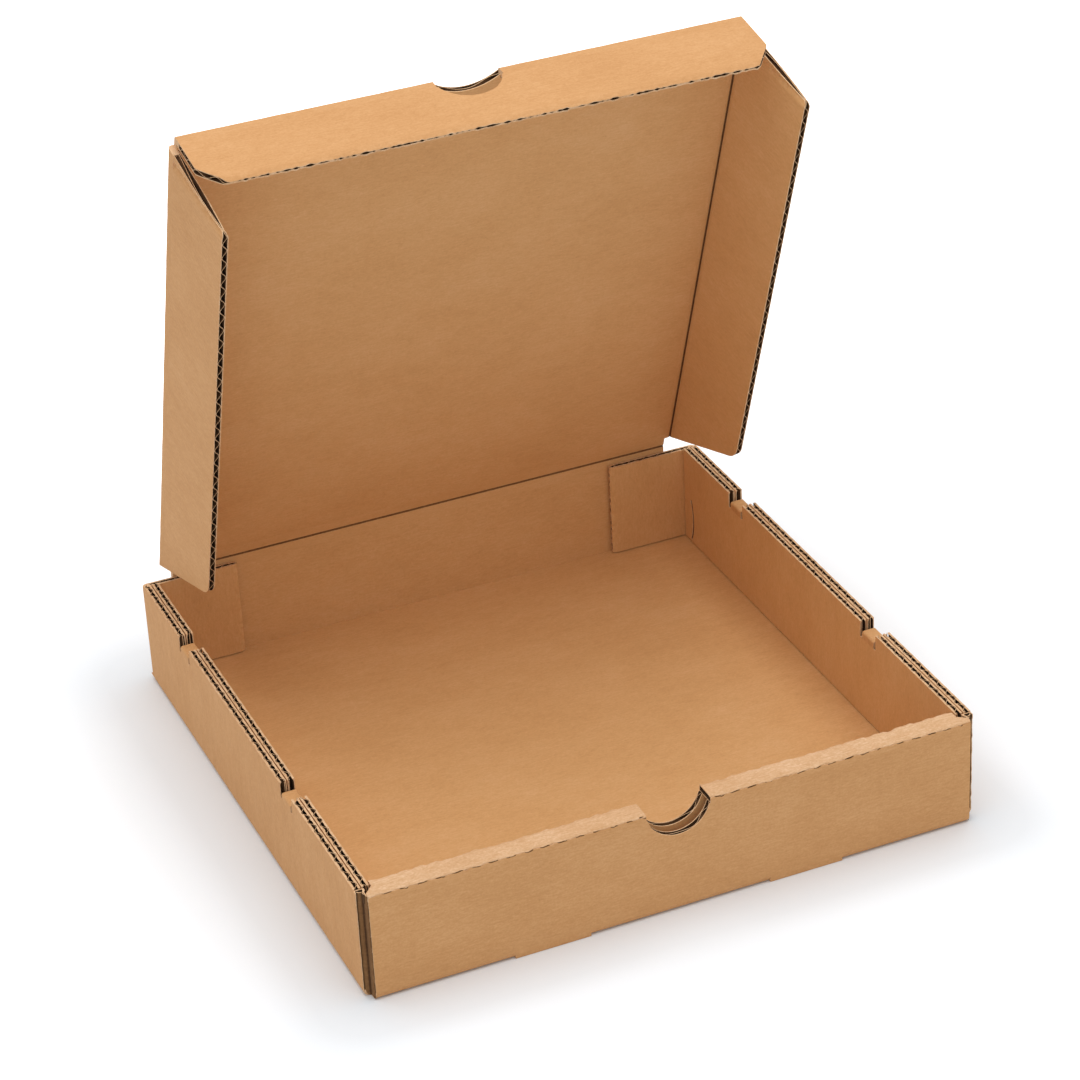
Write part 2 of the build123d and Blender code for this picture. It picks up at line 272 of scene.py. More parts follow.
def loft(piece, rings, on_sheet, paper, hollow=(None, None)):
    """A closed skin over rings of points, in one paper or in the paper of each ring and side.

    An end is flat, or open between its liners: its hollow turns a point of the end's rim into
    the one inside it, and gives the way in and how deep.
    """
    rows = [[piece.add_point(p, s) for p, s in zip(ring, sheet)]
            for ring, sheet in zip(rings, on_sheet)]
    for k, (a, b) in enumerate(zip(rows, rows[1:])):
        for i in range(len(a)):
            skin = paper(k, i) if callable(paper) else paper
            piece.add_face([a[i - 1], a[i], b[i], b[i - 1]], skin)
    for end, inside in zip((0, -1), hollow):
        row = rows[end]
        if inside:
            row = pocket(piece, row, rings[end], on_sheet[end], inside, end == 0)
        # A hollow end's bottom is painted near black as painted shade.
        piece.add_face(row if end else row[::-1], FLUTE_SHADE if inside else CUT)


def pocket(piece, row, ring, sheet, inside, first):
    """Sinks a hollow in the end of a loft, and gives the row of points round its bottom."""
    inset, way_in = inside
    known = {}

    def point(place, on_sheet):
        key = tuple(round(c, 7) for c in place)
        if key not in known:
            known[key] = piece.add_point(place, on_sheet)
        return known[key]

    rim = [point(Vector(inset(p)), s) for p, s in zip(ring, sheet)]
    bottom = [point(Vector(inset(p)) + Vector(way_in), s) for p, s in zip(ring, sheet)]
    # The hollow's walls are painted near black as painted shade, below a pale cut rim.
    for outer, inner, skin in ((row, rim, CUT), (rim, bottom, FLUTE_SHADE)):
        for i in range(len(outer)):
            side = [outer[i - 1], inner[i - 1], inner[i], outer[i]]
            if len({*side}) > 2:
                piece.add_face(side[::-1] if not first else side, skin)
    return [p for i, p in enumerate(bottom) if p != bottom[i - 1]]


def fold_bar(piece, inner, out_a, out_b, start, end, radius):
    """The board round a square fold, from start to end along its inner corner."""
    c, a, b = Vector(inner), Vector(out_a) * board, Vector(out_b) * board
    share = radius / board
    section = [c, c + a, c + a + b * (1 - share)]
    for i in range(1, fold_bends):
        t = math.radians(90 * i / fold_bends)
        section.append(c + a * (1 - share + share * math.cos(t))
                       + b * (1 - share + share * math.sin(t)))
    section += [c + b + a * (1 - share), c + b]
    along = Vector(end) - Vector(start)
    steps = max(2, int(along.length / fold_step))
    rings = [[p + Vector(start) + along * k / steps for p in section]
             for k in range(steps + 1)]
    if a.cross(b).dot(along) < 0:
        rings = rings[::-1]
    loft(piece, rings, [[tuple(p) for p in ring] for ring in rings], OUTSIDE)


front_corner = (0, y_front + board, board)
for a, b in ((-panel_end, foot_sides[0][0]), (foot_sides[0][1], foot_sides[1][0]),
             (foot_sides[1][1], panel_end)):
    fold_bar(tray, front_corner, (0, -1, 0), (0, 0, -1), (a, 0, 0), (b, 0, 0), bottom_radius)
for a, b in foot_sides:
    fold_bar(tray, front_corner, (0, -1, 0), (0, 0, -1), (a, 0, 0), (b, 0, 0),
             foot_fold_radius)
fold_bar(tray, (0, y_rear - board, board), (0, 1, 0), (0, 0, -1),
         (-panel_end, 0, 0), (panel_end, 0, 0), bottom_radius)


# The front wall
# An outer panel and an inner one, with the side walls' corner flaps clamped between them. A
# round thumb notch is cut through both, and the inner panel stands on two feet in the slots.
thumb_radius = 12.5 * mm
thumb_z = wall_height + 0.5 * mm
rollover_end = x_in - 0.5 * mm
roll_bottom = wall_height - board
lift = board + ply_gap


def arc(centre, radius, start, end, count=14):
    """Points on a round stretch of an outline, from one angle to the other in degrees."""
    for i in range(count + 1):
        a = math.radians(start + (end - start) * i / count)
        yield (centre[0] + radius * math.cos(a), centre[1] + radius * math.sin(a))


def with_thumb_notch(u0, u1, v0, v1):
    """A panel whose top edge is bitten by the thumb notch."""
    side = math.degrees(math.acos((thumb_z - v1) / thumb_radius))
    notch = list(arc((0, thumb_z), thumb_radius, 270 + side, 270 - side, 24))
    return [(u0, v0), (u1, v0), (u1, v1)] + notch + [(u0, v1)]


front_out = turned((0, y_front + board, 0), (1, 0, 0), (0, 0, 1), (0, -1, 0))
cut_board(tray, [with_thumb_notch(-panel_end, panel_end, board, roll_bottom)], front_out)
front_in = turned((0, y_front_in - board, 0), (1, 0, 0), (0, 0, 1), (0, 1, 0))
front_in_phase = 1.2
cut_board(tray, [with_thumb_notch(-rollover_end, rollover_end, lift, roll_bottom)], front_in,
          phase=front_in_phase)
for a, b in foot_sides:
    cut_board(tray, [rectangle(a, b, 0, lift)], front_in, phase=front_in_phase)


# The rollover strip
# The top of the front wall, between two scores cut through the liner in short dashes. It is
# rolled over along the flutes, which crushes it unevenly and lifts a rough lip of liner beside
# each dash. Its top is paler, partly from the crushing and partly as a painted highlight where
# the light falls on it, and the open dashes are brown as painted shade, partly the bare
# medium.
# The thumb notch cuts it open between its liners.
score_pitch = 6.6 * mm
score_dash = 3.9 * mm
score_depth = 1.0 * mm
score_opening = 0.20 * mm
score_drop = 0.80 * mm
score_ragged = 0.58 * mm
lip_width = 0.50 * mm
lip_ragged = 0.42 * mm
lip_wave = 0.24 * mm
top_sag = 0.30 * mm
top_ragged = 0.36 * mm
top_dent = 0.14 * mm
dent_ragged = 0.10 * mm
strip_hollow = 2.5 * mm
roll_steps = 230


def rough(x, size, seed):
    """A smooth uneven value between about -1 and 1 along an edge."""
    return 1.6 * noise.noise(Vector((x / size, seed * 3.7, seed)))


def score_edge(x, side):
    """One edge of the strip at x, from the wall's face up to the top: (inward, height)."""
    shift, reach = score_reach(x, side)
    lip = (lip_width + lip_ragged * rough(x, 1.9 * mm, side)
           + lip_wave * math.cos(math.tau * (x + shift) / score_pitch))
    lip = max(lip, 0.04 * mm)
    opening = score_opening * reach
    top = wall_height - max(top_sag + top_ragged * rough(x, 3.1 * mm, side + 6), 0.03 * mm)
    height = wall_height - score_drop + score_ragged * rough(x, 2.0 * mm, side + 2)
    height = min(height, top - 0.55 * mm)
    return [(0, height - opening - 0.25 * mm), (0.05 * mm, height - opening),
            (0.10 * mm + score_depth * reach, height + 0.05 * mm),
            (lip * 0.6 + 0.05 * mm, height + opening),
            (lip * 0.5, height + opening + 0.12 * mm), (lip * 0.7, top - 0.25 * mm),
            (lip + 0.12 * mm, top - 0.10 * mm), (lip + 0.35 * mm, top - 0.02 * mm)]


def score_reach(x, side):
    """How far a dash is shifted along its score at x, and how wide it stands open there."""
    shift = (1.4 * side + 0.9 * rough(x, 11 * mm, side + 4)) * mm
    near = abs((x + shift) % score_pitch - score_pitch / 2) * 2 / score_dash
    open_share = min(1, max(0, 0.7 + 0.7 * rough(x, 5 * mm, side + 8)))
    return shift, max(0.0, 1 - near ** 4) * open_share


def roll_section(x, y_back):
    """The strip's section at x: up its front, over the top, down its back and underneath."""
    ring = [(x, y_front, roll_bottom)]
    ring += [(x, y_front + inward, z) for inward, z in score_edge(x, 1)]
    first, last = ring[-1][1], y_back - score_edge(x, -1)[-1][0]
    for i in range(1, 6):
        y = first + (last - first) * i / 6
        dent = top_dent + dent_ragged * rough(x + 9 * y, 4 * mm, 20)
        ring.append((x, y, wall_height - dent * math.sin(math.pi * i / 6)))
    ring += [(x, y_back - inward, z) for inward, z in reversed(score_edge(x, -1))]
    ring.append((x, y_back, roll_bottom))
    return ring


def into_strip(place):
    """The point inside the strip's liners that lies nearest to a point of its rim."""
    x, y, z = place
    return (x, min(max(y, y_front + liner), y_front_in - liner),
            min(max(z, roll_bottom + liner), wall_height - 0.5 * mm))


roll_start = math.sqrt(thumb_radius ** 2 - (thumb_z - wall_height) ** 2)
for side in (-1, 1):
    xs = [side * (roll_start + (rollover_end - roll_start) * i / roll_steps)
          for i in range(roll_steps + 1)]
    rings = [roll_section(x, y_front_in) for x in xs]
    for x, y_back in ((rollover_end + 0.01 * mm, y_front_in - lift),
                      (panel_end, y_front + board)):
        rings.append(roll_section(side * x, y_back))
    last = len(rings[0])

    def strip_paper(k, i):
        edge = min(i, last - i) if i else 0
        if edge < 3:
            return OUTSIDE
        x = rings[k][0][0]
        cut_open = score_reach(x, 1 if i < last / 2 else -1)[1] > 0.3
        # The top's paler crushed paper is partly a painted highlight, and the open dashes are
        # brown as painted shade, partly the bare medium.
        return CRUSHED_AND_LIT if edge > 4 else BARE_AND_SHADE if cut_open else (OUTSIDE, CRUSHED_AND_LIT)[edge - 3]

    hollows = ((into_strip, (side * strip_hollow, 0, 0)), None)
    if side > 0:
        rings = rings[::-1]
        hollows = hollows[::-1]
    loft(tray, rings, [[(x, y + z, 0) for x, y, z in ring] for ring in rings], strip_paper,
         hollows)


# The rear wall
# One panel, folded up from the floor, which carries the lid on the crease along its top. It
# steps down at both ends to let the lid's side flaps pass.
hinge_half_width = 107 * mm
hinge_shoulder = 6.6 * mm
hinge_y = y_rear - half
hinge_z = wall_height + 0.4 * mm + half
crease_reach = 5 * mm
shoulder_z = wall_height - hinge_shoulder
rear_top = hinge_z - crease_reach
rear_outline = [(-panel_end, board), (panel_end, board), (panel_end, shoulder_z),
                (hinge_half_width, shoulder_z), (hinge_half_width, rear_top),
                (-hinge_half_width, rear_top), (-hinge_half_width, shoulder_z),
                (-panel_end, shoulder_z)]
cut_board(tray, [rear_outline],
          turned((0, y_rear - board, 0), (1, 0, 0), (0, 0, 1), (0, 1, 0)), phase=0.5)


# The side walls
# Each is two plies of the board, the inner one hanging from two short straps that bend over
# the top. Their flutes stand upright, so the cut top edges show the medium's waves, with
# painted shade down in the flutes. A tongue is slit in the inner ply's rear end, and the
# slit's sides are painted near black as painted shade.
strap_width = 9 * mm
strap_fold_radius = 1.0 * mm
liner_tear = 1.2 * mm
strap_side_gap = 1.6 * mm
strap_drop = 3.6 * mm
strap_shares = (0.30, 0.78)
strap_foot = wall_height - strap_drop - side_wall / 2
slit_radius = 26 * mm
slit_width = 1.1 * mm
slit_height = 21 * mm
slit_inset = 8.5 * mm
slit_end = 1 * mm
slit_sink = 0.3 * mm
y_flap_in = wrap_rear - board


def strap_middle(share):
    return wrap_front + share * (wrap_rear - wrap_front)


def side_outline(bottom, v0, v1):
    """A side ply seen flat: u is height, v runs to the rear, and each strap has a relief."""
    ring = [(bottom, v1), (bottom, v0), (wall_height, v0)]
    for share in strap_shares:
        middle = strap_middle(share)
        reach = strap_width / 2 + strap_side_gap
        ring += [(wall_height, middle - reach), (strap_foot, middle - reach),
                 (strap_foot, middle + reach), (wall_height, middle + reach)]
    return ring + [(wall_height, v1)]


def curved_slit():
    """The slit that leaves a tongue in the inner ply beside the rear corner."""
    centre = (lift + slit_height / 2, y_flap_in - ply_gap - slit_inset + slit_radius)
    swing = math.degrees(math.asin((slit_height / 2 - slit_end) / slit_radius))
    outer = list(arc(centre, slit_radius, 270 - swing, 270 + swing, 12))
    inner = list(arc(centre, slit_radius - slit_width, 270 + swing, 270 - swing, 12))
    return outer + inner


def strap_section():
    """A strap from the front, as (x, z): up the outer ply, over and down the inner one."""
    top = wall_height - strap_drop
    radius = strap_fold_radius
    outer_x, inner_x = x_out - 0.02 * mm, x_in + 0.02 * mm
    ring = [(outer_x, strap_foot)]
    ring += arc((outer_x - radius, top - radius), radius, 0, 90, 6)
    ring += arc((inner_x + radius, top - radius), radius, 90, 180, 6)
    under = top - 0.9 * board
    return ring + [(inner_x, strap_foot), (x_in + board, strap_foot), (x_in + board, under),
                   (x_out - board, under), (x_out - board, strap_foot)]


for side in (-1, 1):
    outer = turned((side * (x_out - board), 0, 0), (0, 0, 1), (0, 1, 0), (side, 0, 0))
    inner = turned((side * x_in, 0, 0), (0, 0, 1), (0, 1, 0), (side, 0, 0))
    cut_board(tray, [side_outline(board, wrap_front + board, wrap_rear - board)], outer,
              phase=0.4 + side, smeared=(wall_height,))
    cut_board(tray, [side_outline(lift, wrap_front + board + ply_gap, y_flap_in - ply_gap),
                     curved_slit()], inner, phase=1.9 - side, smeared=(wall_height,))
    # The slit's sides are painted near black as painted shade.
    cut_paper(tray, [curved_slit()], slit_sink, board - slit_sink, slit_height, inner,
              (FLUTE_SHADE, FLUTE_SHADE, FLUTE_SHADE), lambda u, v, top: 0, lambda v: [])
    fold_bar(tray, (side * (x_out - board), 0, board), (side, 0, 0), (0, 0, -1),
             (0, wrap_front + liner_tear, 0), (0, wrap_rear, 0), bottom_radius)
    for share in strap_shares:
        rings = [[(side * x, strap_middle(share) + v * strap_width / 2, z)
                  for x, z in strap_section()] for v in (side, -side)]
        loft(tray, rings, [[(x + z, y, 0) for x, y, z in ring] for ring in rings], OUTSIDE)


# The corner flaps
# Both ends of each side wall's outer ply turn the corner. The front ones are clamped in the
# front wall, and their tight fold has burst the outer liner, so a bead of medium shows in a
# recess. The bead's brown is partly bare medium and partly painted shade, and the grooves
# beside it are painted near black as painted shade.
# The rear ones stand free inside the rear wall.
front_corner_flap = 38 * mm
rear_corner_flap = 33 * mm
corner_radius = 2 * mm
front_flap_top = wall_height - 0.5 * mm
rear_flap_top = wall_height - 1 * mm
medium_bead = 1.35 * mm
bead_middle = 2.0 * mm
bead_swell = 0.12 * mm
burst_width = 3.8 * mm
burst_bottom = 0.5 * mm
burst_rows = 50
tear_ragged = 0.22 * mm
torn_medium = 0.45 * mm
torn_back = 0.75 * mm
torn_ragged = 0.35 * mm
hollow_middle = 1.7 * mm
hollow_depth = 4 * mm
hollow_share = 0.62


def burst_section(z):
    """The corner fold at one height, as (inward, back, paper of the side that ends there)."""
    side_end = liner_tear + tear_ragged * rough(z, 2.1 * mm, 31)
    swell = bead_swell * rough(z, 5 * mm, 35)
    torn_end = y_front - wrap_front + torn_back + torn_ragged * rough(z, 2.4 * mm, 33)
    against = x_out - panel_end
    # The grooves beside the bead are painted near black as painted shade, and the bead's brown
    # is partly bare medium and partly painted shade of the recess.
    ring = [(0, board, CUT), (0, side_end, OUTSIDE), (liner, side_end, CUT),
            (liner + 0.06 * mm, side_end + 1.0 * mm, FLUTE_SHADE)]
    ring += [(p, q, BARE_AND_SHADE)
             for p, q in arc((bead_middle, bead_middle), medium_bead + swell, 175, 275, 9)]
    ring += [(against - torn_medium, 0.4 * mm, FLUTE_SHADE),
             (against - torn_medium + swell, torn_end + 0.5 * mm, BARE_AND_SHADE),
             (against - 0.05 * mm, torn_end, BARE_AND_SHADE), (against - 0.02 * mm, 0.6 * mm, FLUTE_SHADE),
             (burst_width, bead_middle * 0.75, FLUTE_SHADE), (burst_width, board, CUT)]
    bend_z = min(z, bottom_radius)
    inset = bottom_radius - math.sqrt(bend_z * (2 * bottom_radius - bend_z))
    return [(inset + p * (1 - inset / board) if p < board else p, q, skin)
            for p, q, skin in ring]


for side in (-1, 1):
    flap_end = x_out - board
    cut_board(tray, [rectangle(lift, roll_bottom - ply_gap, x_in - front_corner_flap,
                               x_out - burst_width)],
              turned((0, wrap_front + board, 0), (0, 0, 1), (side, 0, 0), (0, -1, 0)))
    cut_board(tray, [rectangle(lift, rear_flap_top, x_in - rear_corner_flap, flap_end)],
              turned((0, y_flap_in, 0), (0, 0, 1), (side, 0, 0), (0, 1, 0)), phase=0.6,
              pressed=(x_in - rear_corner_flap,), smeared=(rear_flap_top,))
    heights = [burst_bottom + (board - burst_bottom) * k / 6 for k in range(6)]
    heights += [board + (front_flap_top - board) * k / burst_rows
                for k in range(burst_rows + 1)]
    rings = [[(side * (x_out - p), wrap_front + q, z) for p, q, _ in burst_section(z)]
             for z in heights]
    skins = [skin for _, _, skin in burst_section(board)]
    centre = Vector((side * (x_out - hollow_middle), wrap_front + hollow_middle,
                     front_flap_top))
    hollows = (None, (lambda p: centre.lerp(Vector(p), hollow_share), (0, 0, -hollow_depth)))
    if side > 0:
        rings = [ring[::-1] for ring in rings]
        skins = [skins[0]] + skins[:0:-1]
    loft(tray, rings, [[(z, x + y, 0) for x, y, z in ring] for ring in rings],
         lambda k, i: skins[i], hollows)
    fold_bar(tray, (side * flap_end, y_flap_in, 0), (side, 0, 0), (0, 1, 0),
             (0, 0, board), (0, 0, rear_flap_top), corner_radius)


# The kraft papers of the board
# Unbleached kraft liner, brown and matt, with fibres along the flutes and small dark specks.
# It is a little paler inside, and that paler tone is painted light for the inside faces, which
# the lamp reaches less. It is paler and rough where it is cut or crushed; on the crushed top
# of the rollover strip the paler tone is partly a painted highlight. The medium is a plain
# brown where it lies bare, and that brown also stands as painted shade in the grooves of the
# creases and in the open dashes of the scores. Down in the flutes, and in slits, grooves and
# hollows, it is painted almost black as painted shade.
def linear(code):
    """An sRGB hex colour as the linear values that a shader takes."""
    parts = [int(code[i:i + 2], 16) / 255 for i in (1, 3, 5)]
    return [c / 12.92 if c <= 0.04045 else ((c + 0.055) / 1.055) ** 2.4 for c in parts] + [1]


def add_node(tree, kind, links=None, **settings):
    """Adds a node: settings are its sockets or its own fields, and links feed its inputs."""
    made = tree.nodes.new(kind)
    for name, value in settings.items():
        socket = next((s for s in made.inputs if s.name.replace(" ", "_") == name), None)
        if socket is None:
            setattr(made, name, value)
        else:
            socket.default_value = value
    for name, source in (links or {}).items():
        tree.links.new(source, made.inputs[name])
    return made


def paper_material(name, deep, base, pale, roughness, speck=1.0):
    """Kraft paper in three close browns, with fibres, clouds and specks."""
    made = bpy.data.materials.new(name)
    made.use_nodes = True
    tree = made.node_tree
    skin = tree.nodes["Principled BSDF"]
    skin.inputs["Roughness"].default_value = roughness
    skin.inputs["IOR"].default_value = 1.47
    place = add_node(tree, "ShaderNodeAttribute", attribute_name="sheet").outputs["Vector"]

    def grain(size_u, size_v, detail, rough_share):
        scaled = add_node(tree, "ShaderNodeMapping", {"Vector": place},
                          Scale=(1 / (size_u * mm), 1 / (size_v * mm), 1 / (1.5 * mm)))
        return add_node(tree, "ShaderNodeTexNoise", {"Vector": scaled.outputs["Vector"]},
                        Scale=1.0, Detail=detail, Roughness=rough_share).outputs["Fac"]

    def weighted(sources):
        total = None
        for source, weight in sources:
            links = {0: source} if total is None else {0: source, 2: total}
            node = add_node(tree, "ShaderNodeMath", links, operation="MULTIPLY_ADD")
            node.inputs[1].default_value = weight
            if total is None:
                node.inputs[2].default_value = 0
            total = node.outputs[0]
        return total

    # A real fibre is a few hundredths of a millimetre wide, too fine to show from here, so the
    # fibres are drawn as tufts 0.7 mm wide and the tooth of the paper as grains of 0.9 mm.
    clouds = grain(40, 26, 2.0, 0.5)
    mottle = grain(9, 5, 2.0, 0.5)
    fibres = grain(2.8, 0.7, 2.0, 0.5)
    streaks = grain(8, 1.4, 2.0, 0.5)
    tooth = grain(0.9, 0.8, 2.0, 0.6)
    mixed = weighted([(clouds, 0.20), (mottle, 0.14), (streaks, 0.10), (fibres, 0.28),
                      (tooth, 0.28)])
    tone = add_node(tree, "ShaderNodeMapRange", {"Value": mixed}, From_Min=0.37, From_Max=0.63)
    ramp = add_node(tree, "ShaderNodeValToRGB", {"Fac": tone.outputs["Result"]})
    ramp.color_ramp.elements[0].color = linear(deep)
    ramp.color_ramp.elements[1].color = linear(pale)
    ramp.color_ramp.elements.new(0.5).color = linear(base)
    spots = add_node(tree, "ShaderNodeTexVoronoi", {"Vector": place}, Scale=1 / (4.2 * mm),
                     Randomness=1.0)
    near = add_node(tree, "ShaderNodeMapRange", {"Value": spots.outputs["Distance"]},
                    From_Min=0.03, From_Max=0.09, To_Min=0.13 * speck, To_Max=0.0)
    flecked = add_node(tree, "ShaderNodeMix", data_type="RGBA")
    tree.links.new(near.outputs["Result"], flecked.inputs["Factor"])
    tree.links.new(ramp.outputs["Color"], flecked.inputs[6])
    flecked.inputs[7].default_value = linear("#6B4423")
    tree.links.new(flecked.outputs[2], skin.inputs["Base Color"])
    relief = add_node(tree, "ShaderNodeBump",
                      {"Height": weighted([(tooth, 0.6), (fibres, 0.4)])},
                      Strength=0.25, Distance=0.04 * mm)
    tree.links.new(relief.outputs["Normal"], skin.inputs["Normal"])
    return made


# The inside liner's paler tone is painted light: it stands in for light on the inside faces of
# the box, which the lamp reaches less.
papers = (paper_material("kraft_liner_outside", "#C48E58", "#CD9862", "#D6A36F", 0.80),
          paper_material("kraft_liner_inside", "#CF9C64", "#D8A66E", "#DFB07C", 0.84),
          paper_material("kraft_cut_edge", "#C89A6C", "#DDB388", "#EBC9A2", 0.95),
          paper_material("fluting_medium", "#40270F", "#523519", "#654426", 0.95),
          paper_material("kraft_liner_crushed", "#C8996A", "#D6AB80", "#E6C09A", 0.90, 0.5),
          paper_material("bare_fluting_medium", "#6E4A28", "#7D5731", "#8E6840", 0.92))


def make_board(piece, name, node=None, body=None):
    """Turns the gathered sheets into one mesh with its papers, and rides it."""
    mesh = bpy.data.meshes.new(name)
    mesh.from_pydata([tuple(p) for p in piece.points], [], piece.faces)
    for paper in papers:
        mesh.materials.append(paper)
    mesh.polygons.foreach_set("material_index", piece.papers)
    place = mesh.attributes.new("sheet", "FLOAT_VECTOR", "POINT")
    place.data.foreach_set("vector", [c for p in piece.on_sheet for c in p])
    mesh.shade_smooth()
    mesh.set_sharp_from_angle(angle=math.radians(32))
    made = bpy.data.objects.new(name, mesh)
    bpy.context.scene.collection.objects.link(made)
    if body:
        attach(made, body)
    if node:
        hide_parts(node)
    return made


make_board(tray, "tray_board", "tray", "tray")


# The lid panel
# The rest of the same sheet, folded back at the crease on the rear wall. It stands open and
# leans a little forward, and its inside faces the front.
flap_axis = next(j for j in frame["joints"] if j["name"] == "right_flap_crease")["axis"]
up_lid = Vector((0, flap_axis[1], flap_axis[2]))
into_lid = Vector((0, -flap_axis[2], flap_axis[1]))
hinge = Vector((0, hinge_y, hinge_z))
side_crease = 110.5 * mm
side_crease_start = 4 * mm
lid_length = hinge_y - (y_front_in + 1 * mm + half)
front_setback = 3 * mm
front_crease_end = side_crease - 1 * mm
flap_crease_reach = 3.5 * mm
lid_notch_radius = 12.8 * mm
lid_notch_depth = 4.5 * mm


def on_lid(u, v, h):
    """A place on the lid: u to the right, v up the lid from the hinge, h from its middle."""
    return hinge + Vector((1, 0, 0)) * u + up_lid * v + into_lid * h


arc_radius = (lid_notch_radius ** 2 + lid_notch_depth ** 2) / (2 * lid_notch_depth)
swing = math.degrees(math.asin(lid_notch_radius / arc_radius))
lid_notch = list(arc((0, lid_length - lid_notch_depth + arc_radius), arc_radius,
                     270 + swing, 270 - swing, 16))
edge_x = side_crease - flap_crease_reach
edge_v = lid_length - flap_crease_reach
lid_outline = [(-hinge_half_width, crease_reach), (hinge_half_width, crease_reach),
               (edge_x, crease_reach), (edge_x, edge_v), (lid_notch_radius, edge_v)]
lid_outline += lid_notch + [(-lid_notch_radius, edge_v), (-edge_x, edge_v),
                            (-edge_x, crease_reach)]
lid = Piece()
cut_board(lid, [lid_outline], on_lid, faces=(OUTSIDE, INSIDE), low=-half, phase=0.9)
make_board(lid, "lid_board", "lid_panel", "lid")


# The side flaps of the lid
# They fold in from the lid's sides and pass inside the walls when it shuts. Each has a
# slanted rear end with a round corner, and flutes that run to its free edge. The right one
# stands a little open, and the left one is folded a little past square.
flap_height = 42 * mm
flap_opens = {"right": math.radians(10), "left": math.radians(-6)}
flap_rear_cut = 27 * mm
flap_front_slant = 4.5 * mm
flap_rear_radius = 9 * mm
flap_front_radius = 2.5 * mm
flap_front = lid_length - front_setback


def rounded(points, radii, count=8):
    """The outline with each corner rounded by its radius."""
    ring = []
    for i, (point, radius) in enumerate(zip(points, radii)):
        here = Vector(point)
        back = (Vector(points[i - 1]) - here).normalized()
        ahead = (Vector(points[(i + 1) % len(points)]) - here).normalized()
        if radius == 0:
            ring.append(tuple(here))
            continue
        reach = radius / math.tan(back.angle(ahead) / 2)
        start, end = here + back * reach, here + ahead * reach
        for k in range(count + 1):
            t = k / count
            ring.append(tuple(start * (1 - t) ** 2 + here * 2 * t * (1 - t) + end * t * t))
    return ring


def flap_frame(side, opens):
    """The way down a side flap from its crease, and the way out through its board."""
    out = Vector((side, 0, 0))
    return (into_lid * math.cos(opens) + out * math.sin(opens),
            out * math.cos(opens) - into_lid * math.sin(opens))


for side, name in ((1, "right"), (-1, "left")):
    down_flap, out_flap = flap_frame(side, flap_opens[name])
    rear_share = flap_crease_reach / flap_height
    corners = [(flap_crease_reach, side_crease_start + flap_rear_cut * rear_share),
               (flap_height, side_crease_start + flap_rear_cut),
               (flap_height, flap_front - flap_front_slant),
               (flap_crease_reach, flap_front - flap_front_slant * rear_share)]
    outline = rounded(corners, (0, flap_rear_radius, flap_front_radius, 0))
    flap = Piece()
    cut_board(flap, [outline],
              turned(hinge + Vector((side * side_crease, 0, 0)), down_flap, up_lid, out_flap),
              low=-half, phase=0.9, pressed=(flap_front - flap_front_slant,))
    make_board(flap, f"lid_{name}_flap_board", f"lid_{name}_flap", f"{name}_flap")


# The front flap of the lid
# The tuck flap folds in from the lid's front edge. Its free corners are cut off and rounded,
# and a finger notch bites through it at the fold. The knife ran along the flutes at its free
# edge and crushed it.
front_flap_height = 31 * mm
front_flap_open = math.radians(9)
corner_width = 8 * mm
corner_height = 10.5 * mm
front_flap_radius = 3 * mm
front_crease = hinge + up_lid * lid_length
down_front = into_lid * math.cos(front_flap_open) + up_lid * math.sin(front_flap_open)
out_front = up_lid * math.cos(front_flap_open) - into_lid * math.sin(front_flap_open)
shoulder = front_flap_height - corner_height
notch_side = math.degrees(math.acos(flap_crease_reach / lid_notch_radius))
finger = list(arc((0, 0), lid_notch_radius, 90 + notch_side, 90 - notch_side, 24))
corners = [(front_crease_end, flap_crease_reach), (front_crease_end, shoulder),
           (front_crease_end - corner_width, front_flap_height)]
corners += [(-u, v) for u, v in reversed(corners)]
outline = rounded(corners, (0,) + (front_flap_radius,) * 4 + (0,)) + finger
front = Piece()
cut_board(front, [outline], turned(front_crease, (1, 0, 0), down_front, out_front),
          low=-half, phase=0.3, pressed=(front_flap_height,))
make_board(front, "lid_front_flap_board", "lid_front_flap", "front_flap")


# The creases of the lid
# At a crease the board is crushed thin between a rule and its anvil, and the two liners bend
# there while the panels stay flat. Each crease follows the two panels that it joins.
bend_reach = 1.2 * half
crease_step = 2.5 * mm
crease_dent = 0.08 * mm
crease_grain = 6.25 * mm
groove_edge = 0.5 * mm
hinge_pinch = 0.5 * mm


